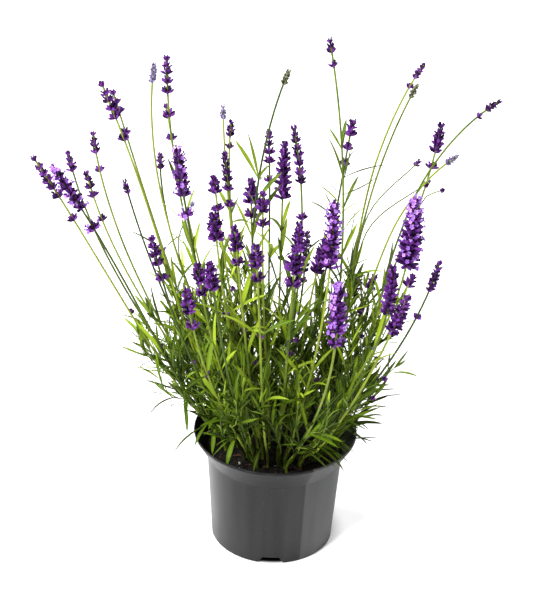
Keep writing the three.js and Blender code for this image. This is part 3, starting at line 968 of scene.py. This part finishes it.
def axil_buds(growth, stem, distance, turn, random):
    """A few half-grown calyxes in the axils of a leaf pair high on a stem."""
    place, heading, side, other = stem.at(distance)
    for opposite in (0, math.pi):
        outward = out_of(side, other, turn + opposite)
        for _ in range(3):
            out, aside = random.uniform(0.3, 0.9), random.uniform(-0.3, 0.3)
            axis = unit(heading + outward * out + other * aside)
            root = place + outward * 1.2 * MM
            calyx(growth, root, axis, 3.6 * MM, 1.7 * MM, CALYX, random.uniform(0, 1))


def sprig(growth, stem, share, tip, kind, random):
    """A hair-thin side stem that leaves a stalk part way up and ends in a small young head."""
    distance = share * stem.length
    place, heading, _, _ = stem.at(distance)
    tip = np.array(tip) * MM
    middle = place + heading * np.linalg.norm(tip - place) * 0.45
    side_stem = Stem([place, middle * 0.7 + (place + tip) * 0.15, tip], samples=30)
    end = side_stem.length - 2 * MM
    stem_tube(growth, side_stem, 0, end, 0.72 * MM, 0.55 * MM, STEM, 0.5, sides=4)
    spike(growth, side_stem, side_stem.length - HEAD_LENGTH[kind], HABITS[kind], random)


def growth_marks(made):
    """The share along a part, the part's tone, the share across, and the underside."""
    growth = made.node("ShaderNodeAttribute", {"attribute_name": "growth"}, output=1)
    marks = [made.axis(growth, number) for number in range(3)]
    underside = made.node("ShaderNodeAttribute", {"attribute_name": "underside"}, output=2)
    return [*marks, underside]


def stem_finish():
    """Fresh square stems: bright yellow-green, darker and ruddier in patches, with fine hair."""
    made = Finish("fresh_stem")
    _, tone, _, _ = growth_marks(made)
    patches = made.grain(made.places(), 45, detail=2)
    fine = made.grain(made.places((1500, 1500, 260)), 1.0, detail=2)
    green = made.ramp(
        made.between(tone * 0.7 + patches * 0.6, 0.2, 1.1),
        (0.0, (0.028, 0.050, 0.005)),
        (0.5, (0.090, 0.140, 0.012)),
        (1.0, (0.24, 0.30, 0.032)),
    )
    ruddy = made.between(patches + tone * 0.2, 0.68, 0.9)
    colour = made.mix(ruddy * 0.35, green, (0.11, 0.07, 0.03))
    return made.coat(
        Base_Color=colour,
        Roughness=0.5 + fine * 0.2,
        Normal=made.bump(fine, 0.4, 0.0002),
        Specular_IOR_Level=0.15,
    )


def leaf_finish():
    """Narrow leaves: a lighter folded midrib, a paler underside and a fine matt down."""
    dark, middle, light = (0.003, 0.010, 0.0004), (0.070, 0.128, 0.004), (0.31, 0.42, 0.022)
    made = Finish("green_leaf")
    along, tone, across, underside = growth_marks(made)
    clouds = made.grain(made.places(), 60, detail=3)
    fine = made.grain(made.places(), 1600, detail=3)
    # Low leaves in the clump, whose tone carries painted shade, go towards the dark colour.
    green = made.ramp(
        made.between(tone * 0.9 + clouds * 0.35, 0.12, 1.1),
        (0.0, dark),
        (0.5, middle),
        (1.0, light),
    )
    midrib = 1 - made.between(across, 0.05, 0.22)
    ribbed = made.mix(midrib * 0.35, green, light)
    tipped = made.mix(made.between(along, 0.9, 1.0) * 0.3, ribbed, (0.14, 0.12, 0.03))
    colour = made.mix(made.between(underside, 0.5, 0.62) * 0.4, tipped, (0.16, 0.25, 0.035))
    return made.coat(
        Base_Color=colour,
        Roughness=0.46 + clouds * 0.16,
        Normal=made.bump(fine * 0.7 + midrib * 0.6, 0.35, 0.0003),
        Specular_IOR_Level=0.1,
    )


def calyx_finish(name, base, deep, bright):
    """Ribbed violet calyxes: greyer at the base, with a fine down. The ribs are painted lighter than
    the grooves between them, a painted highlight with painted shade in the grooves.
    """
    made = Finish(name)
    along, tone, across, _ = growth_marks(made)
    down = made.grain(made.places(), 1900, detail=3)
    violet = made.mix(made.between(tone * 0.9 + down * 0.35, 0.25, 1.15), deep, bright)
    # Painted highlight on the ribs and painted shade in the grooves between them.
    rib_highlight = made.mix(made.between(across, 0.55, 0.95) * 0.3, violet, bright)
    colour = made.mix((1 - made.between(along, 0.0, 0.28)) * 0.75, rib_highlight, base)
    return made.coat(
        Base_Color=colour,
        Roughness=0.6 + down * 0.25,
        Normal=made.bump(down, 0.5, 0.0002),
        Specular_IOR_Level=0.12,
    )


def petal_finish():
    """Thin lilac corollas, deeper in the throat, their tone varied by a fine grain."""
    made = Finish("lilac_corolla")
    along, tone, _, _ = growth_marks(made)
    veins = made.grain(made.places(), 900, detail=3)
    share = made.between(tone * 0.7 + veins * 0.5, 0.2, 1.0)
    lilac = made.mix(share, (0.26, 0.085, 0.52), (0.56, 0.29, 0.80))
    throat = made.mix((1 - made.between(along, 0.1, 0.45)) * 0.6, lilac, (0.12, 0.03, 0.30))
    return made.coat(
        Base_Color=throat,
        Roughness=0.5 + veins * 0.2,
        Normal=made.bump(veins, 0.3, 0.0002),
        Specular_IOR_Level=0.35,
    )


fresh_stem = stem_finish()
green_leaf = leaf_finish()
violet_calyx = calyx_finish(
    "violet_calyx", (0.06, 0.020, 0.032), (0.013, 0.0008, 0.031), (0.175, 0.038, 0.30)
)
pale_calyx = calyx_finish(
    "pale_calyx", (0.22, 0.25, 0.12), (0.12, 0.08, 0.22), (0.30, 0.26, 0.42)
)
green_calyx = calyx_finish(
    "green_calyx", (0.15, 0.19, 0.05), (0.045, 0.035, 0.04), (0.22, 0.24, 0.13)
)
lilac_corolla = petal_finish()

OUTER_REACH = 125 * MM
FIRST_LEAF = 24 * MM
FRONT_FIRST_LEAF = 56 * MM
FRONT_FEET_BEFORE = 8 * MM
FRONT_FEET_LEFT_OF = 28 * MM
LEAFY_SHARE = {"outer": 0.47, "inner": 0.76}
BARE_BELOW_SPIKE = 42 * MM
SIDE_SHOOT_SHARE = 0.34


def first_leaf(foot):
    """How far up the leaves start. The stems at the front are bare just above the compost."""
    at_front = foot[1] < FRONT_FEET_BEFORE and foot[0] < FRONT_FEET_LEFT_OF
    return FRONT_FIRST_LEAF if at_front else FIRST_LEAF


def flower_stalk(number):
    node = f"flower_stalk_{number:02d}"
    random = np.random.default_rng(100 + number)
    points, radii = cad_line(node)
    foot = points[0] - UP * FOOT_SUNK_BY
    stem = Stem(np.concatenate([[foot], points]))
    knots = distances_along(points) + FOOT_SUNK_BY
    fat = np.flatnonzero(radii > CAD_WHORL_RADIUS)
    spike_start = knots[fat[-2]] - SPIKE_LEAD
    lone_whorls = [knots[i] - WHORL_LEAD for i in fat[:-2]]
    if number in LOW_WHORLS:
        lone_whorls.append(spike_start - LOW_WHORLS[number] * MM)
    habit = HABITS[next(name for name, numbers in HABIT_OF.items() if number in numbers)]
    growth = Growth()
    tone = random.uniform(0, 1)
    end = stem.length - 3 * MM
    stem_tube(growth, stem, 0, end, STEM_FOOT_RADIUS, STEM_TOP_RADIUS, STEM, tone)
    distance, turn = first_leaf(foot) + random.uniform(0, 18) * MM, random.uniform(0, math.pi)
    stands = "outer" if np.hypot(*points[-1][:2]) > OUTER_REACH else "inner"
    leafy_end = min(stem.length * LEAFY_SHARE[stands], spike_start - BARE_BELOW_SPIKE)
    while distance < leafy_end:
        share = distance / stem.length
        length, width = (46 - 12 * share) * MM, (3.0 + 1.1 * share) * MM
        leaf_pair(growth, stem, distance, turn, length, width, 28, random)
        if share < SIDE_SHOOT_SHARE:
            side_turn = turn + random.choice([0, math.pi]) + random.uniform(-0.3, 0.3)
            side_shoot(growth, stem, distance, side_turn, random.uniform(26, 58) * MM, random)
        distance += (13 + 26 * share) * MM * random.uniform(0.8, 1.2)
        turn += math.pi / 2
    for share in HIGH_LEAVES.get(number, ()):
        leaf_pair(growth, stem, share * stem.length, turn, 40 * MM, 3.8 * MM, 44, random)
        axil_buds(growth, stem, share * stem.length, turn, random)
        turn += math.pi / 2
    for share, tip, width, arch, tone in LONG_LEAVES.get(number, ()):
        root = stem.at(share * stem.length)[0]
        laid_leaf(growth, root, np.array(tip) * MM, width * MM, arch, tone)
    for place in lone_whorls:
        whorl(growth, stem, place, turn, habit, 0.95, random)
    for share, tip, kind in SPRIGS.get(number, ()):
        sprig(growth, stem, share, tip, kind, random)
    spike(growth, stem, spike_start, habit, random)
    calyx_colour = violet_calyx
    if number in PALE_SPIKES:
        calyx_colour = pale_calyx
    if number in GREEN_SPIKES:
        calyx_colour = green_calyx
    made = growth.piece(
        f"lavender_stalk_{number:02d}",
        [fresh_stem, green_leaf, calyx_colour, lilac_corolla],
    )
    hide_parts(node)


STALKS = sum(1 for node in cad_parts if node.startswith("flower_stalk_"))
for number in range(1, STALKS + 1):
    flower_stalk(number)


# ------------------------------------------------------------------ the leafy shoots
# Shoots without flowers, green and soft: each forks low down into several thin stems with
# narrow leaves in crossed pairs. They fill the clump above the compost.

FORKS = 5
FORK_SPREAD = 34 * MM


def shoot_line(node):
    """A line from the foot of a CAD shoot up through the middle of its leaves."""
    points = cad_points(node)
    foot = points[points[:, 2] < points[:, 2].min() + 1.5 * MM].mean(0)
    height = points[:, 2].max() - foot[2]
    line = [foot - UP * FOOT_SUNK_BY, foot]
    for level in (0.3, 0.5, 0.7, 0.84):
        middle = foot[2] + height * level
        near = points[np.abs(points[:, 2] - middle) < height * 0.14]
        centre = near.mean(0)
        line.append(np.array([centre[0], centre[1], middle]))
    return line


def leafy_stem(growth, stem, low, random):
    """One stem of a shoot, with its pairs of leaves from a distance above its foot."""
    distance, turn = low, random.uniform(0, math.pi)
    while distance < stem.length - 2 * MM:
        share = distance / stem.length
        length, lean = (46 - 16 * share) * MM, 34 - 12 * share
        leaf_pair(growth, stem, distance, turn, length, 3.0 * MM, lean, random)
        distance += random.uniform(9, 15) * MM
        turn += math.pi / 2
    leaf_pair(growth, stem, stem.length, turn, 24 * MM, 2.6 * MM, 16, random, (-0.1, 0.3))


def leafy_shoot(number):
    node = f"leafy_shoot_{number:02d}"
    random = np.random.default_rng(300 + number)
    main = np.array(shoot_line(node))
    growth = Growth()
    for fork in range(FORKS):
        bearing = 2 * math.pi * fork / FORKS + random.uniform(-0.5, 0.5)
        aside = np.array([math.cos(bearing), math.sin(bearing), 0]) * FORK_SPREAD
        aside *= 0 if fork == 0 else random.uniform(0.5, 1.1)
        reach = 1 if fork == 0 else random.uniform(0.62, 0.98)
        share = np.linspace(0, 1, len(main))[:, None] ** 1.3
        line = main[0] + (main - main[0]) * reach + aside * share
        stem = Stem(line, samples=40)
        if not keeps_clear(stem.line[10:]):
            continue
        stem_tube(growth, stem, 0, stem.length, 1.0 * MM, 0.45 * MM, STEM, random.uniform(0, 1))
        leafy_stem(growth, stem, first_leaf(main[0]) * 0.9, random)
    made = growth.piece(f"leafy_shoot_{number:02d}_grown", [fresh_stem, green_leaf])
    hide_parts(node)


SHOOTS = sum(1 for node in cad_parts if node.startswith("leafy_shoot_"))
for number in range(1, SHOOTS + 1):
    leafy_shoot(number)


# ------------------------------------------------------------------ the sprays at the rim
# Short leafless twigs from the base of the clump, each with one or two broad old leaves that
# arch over the pot's rim or hang inside it.

# The twig's foot and end, then each leaf's tip, width, arch and tone. Millimetres.
RIM_SPRAYS = (
    (
        (-34, -8, 96), (-62, -16, 124),
        (((-91, -30, 98), 2.6, 0.8, 0.1), ((-72, -34, 110), 3.0, 1.0, 0.35)),
    ),
    (
        (-36, 4, 96), (-84, -9, 148),
        (((-113, -20, 129), 2.4, 1.5, 0.0), ((-80, -30, 122), 3.6, 1.2, 0.5)),
    ),
    (
        (8, -30, 96), (26, -52, 134),
        (((61, -80, 118), 4.6, 0.9, 0.3), ((66, -60, 114), 4.4, 0.7, 0.42)),
    ),
    (
        (36, -2, 96), (62, -8, 121),
        (((92, -15, 112), 3.2, -0.7, 0.15), ((84, -34, 118), 3.0, 0.5, 0.4)),
    ),
    (
        (-14, -22, 96), (-36, -38, 124),
        (((-42, -55, 104), 4.4, 1.1, 0.45),),
    ),
    (
        (-20, -8, 96), (-55, -28, 126),
        (((-56, -44, 110), 3.8, 1.0, 0.5), ((-66, -22, 108), 3.0, 0.9, 0.2)),
    ),
    (
        (6, -24, 96), (-12, -42, 120),
        (((-18, -58, 102), 3.6, 0.9, 0.25),),
    ),
    (
        (20, 14, 96), (40, 52, 126),
        (((60, 86, 112), 3.6, 1.0, 0.4), ((30, 88, 116), 3.2, 0.8, 0.3)),
    ),
    (
        (-18, 20, 96), (-44, 50, 126),
        (((-68, 76, 110), 3.4, 1.0, 0.4), ((-30, 84, 116), 3.2, 0.8, 0.25)),
    ),
)


def rim_spray(number, foot, end, leaves):
    foot, end = np.array(foot) * MM, np.array(end) * MM
    growth = Growth()
    middle = (foot + end) / 2 + UP * 6 * MM
    twig = Stem([foot - UP * FOOT_SUNK_BY, foot, middle, end], samples=24)
    stem_tube(growth, twig, 0, twig.length, 0.9 * MM, 0.6 * MM, STEM, 0.4)
    for tip, width, arch, tone in leaves:
        laid_leaf(growth, end, np.array(tip) * MM, width * MM, arch, tone)
    growth.piece(f"rim_spray_{number:02d}", [fresh_stem, green_leaf])


for number, spray in enumerate(RIM_SPRAYS, 1):
    rim_spray(number, *spray)


# ------------------------------------------------------------------ floor, light and camera
# A wide pale sheet under the pot in a white room; it glows faintly, with a painted shadow under
# and round the pot. The light is soft: a large key light from the upper left, and weaker ones
# from the left and from behind.

SHEET_HALF = 8.0
SHEET_FAR_FROM = 0.9
SHEET_FAR_TO = 2.4
LIGHT_AIM_HEIGHT = 0.22
ROOM_LIGHT = 0.14


def floor_sheet():
    """The white sheet. It glows as painted light, twice as bright far away where it meets the room.
    Under the pot it is painted near black, and round the pot's foot its glow fades out: a painted
    shadow.
    """
    half = SHEET_HALF
    corners = [(-half, -half, 0), (half, -half, 0), (half, half, 0), (-half, half, 0)]
    mesh = bpy.data.meshes.new("floor_sheet")
    mesh.from_pydata(corners, [], [(0, 1, 2, 3)])
    made = Finish("floor_white")
    grain = made.grain(made.places(), 30, detail=2)
    away = made.node("ShaderNodeVectorMath", {"operation": "LENGTH"}, {0: made.places()}, output=1)
    # Painted shadow: the sheet's glow fades out round the pot's foot.
    glow_outside_painted_shadow = made.between(away, foot_radius - 6 * MM, foot_radius + 16 * MM)
    # Painted shadow: under the pot the sheet is painted near black.
    outside_painted_shadow = made.between(away, foot_radius - 4 * MM, foot_radius + 1 * MM)
    far = made.between(away, SHEET_FAR_FROM, SHEET_FAR_TO)
    sheet_white = made.mix(grain, (0.90, 0.90, 0.90), (0.93, 0.93, 0.93))
    # Painted light: the sheet glows, twice as bright far away.
    glow = made.mix(far, (1.0, 1.0, 1.0), (2.0, 2.0, 2.0))
    made.coat(
        Base_Color=made.mix(outside_painted_shadow, (0.01, 0.01, 0.01), sheet_white),
        Roughness=0.9,
        Specular_IOR_Level=0.0,
        Emission_Color=made.mix(glow_outside_painted_shadow, (0.0, 0.0, 0.0), glow),
        Emission_Strength=0.5,
    )
    mesh.materials.append(made.material)
    into_scene("floor_sheet", mesh)


def softbox(name, place, size, power):
    lamp = bpy.data.lights.new(name, "AREA")
    lamp.shape = "SQUARE"
    lamp.size = size
    lamp.energy = power
    made = into_scene(name, lamp)
    made.location = place
    aim = Vector((0, 0, LIGHT_AIM_HEIGHT)) - Vector(place)
    made.rotation_euler = aim.to_track_quat("-Z", "Y").to_euler()


floor_sheet()
softbox("softbox_key", (-1.1, -1.2, 1.9), 0.7, 94)
softbox("softbox_left", (-1.9, 0.5, 0.7), 0.9, 50)
softbox("softbox_back", (0.9, 1.5, 1.5), 1.0, 30)

room = bpy.data.worlds.new("white_room")
room.use_nodes = True
backdrop = room.node_tree.nodes["Background"]
seen = room.node_tree.nodes.new("ShaderNodeLightPath")
glow = room.node_tree.nodes.new("ShaderNodeMapRange")
glow.inputs["To Min"].default_value = ROOM_LIGHT
glow.inputs["To Max"].default_value = 1.0
room.node_tree.links.new(seen.outputs["Is Camera Ray"], glow.inputs["Value"])
room.node_tree.links.new(glow.outputs[0], backdrop.inputs["Strength"])
backdrop.inputs["Color"].default_value = (1, 1, 1, 1)
bpy.context.scene.world = room
bpy.context.scene.view_settings.view_transform = "Standard"

CAMERA_PITCH = math.radians(28.9)
CAMERA_ROLL = math.radians(2.07)
CAMERA_DISTANCE = 1.5
CAMERA_AIM = Vector((-0.009, 0, 0.240))
CAMERA_SENSOR = 36
CAMERA_LENS = 99.7

lens = bpy.data.cameras.new("studio_camera")
lens.sensor_width = CAMERA_SENSOR
lens.lens = CAMERA_LENS
camera = into_scene("studio_camera", lens)
sight = Vector((0, math.cos(CAMERA_PITCH), -math.sin(CAMERA_PITCH)))
camera.location = CAMERA_AIM - CAMERA_DISTANCE * sight
camera.rotation_mode = "QUATERNION"
level_look = sight.to_track_quat("-Z", "Y")
camera.rotation_quaternion = level_look @ Quaternion((0, 0, 1), CAMERA_ROLL)
bpy.context.scene.camera = camera
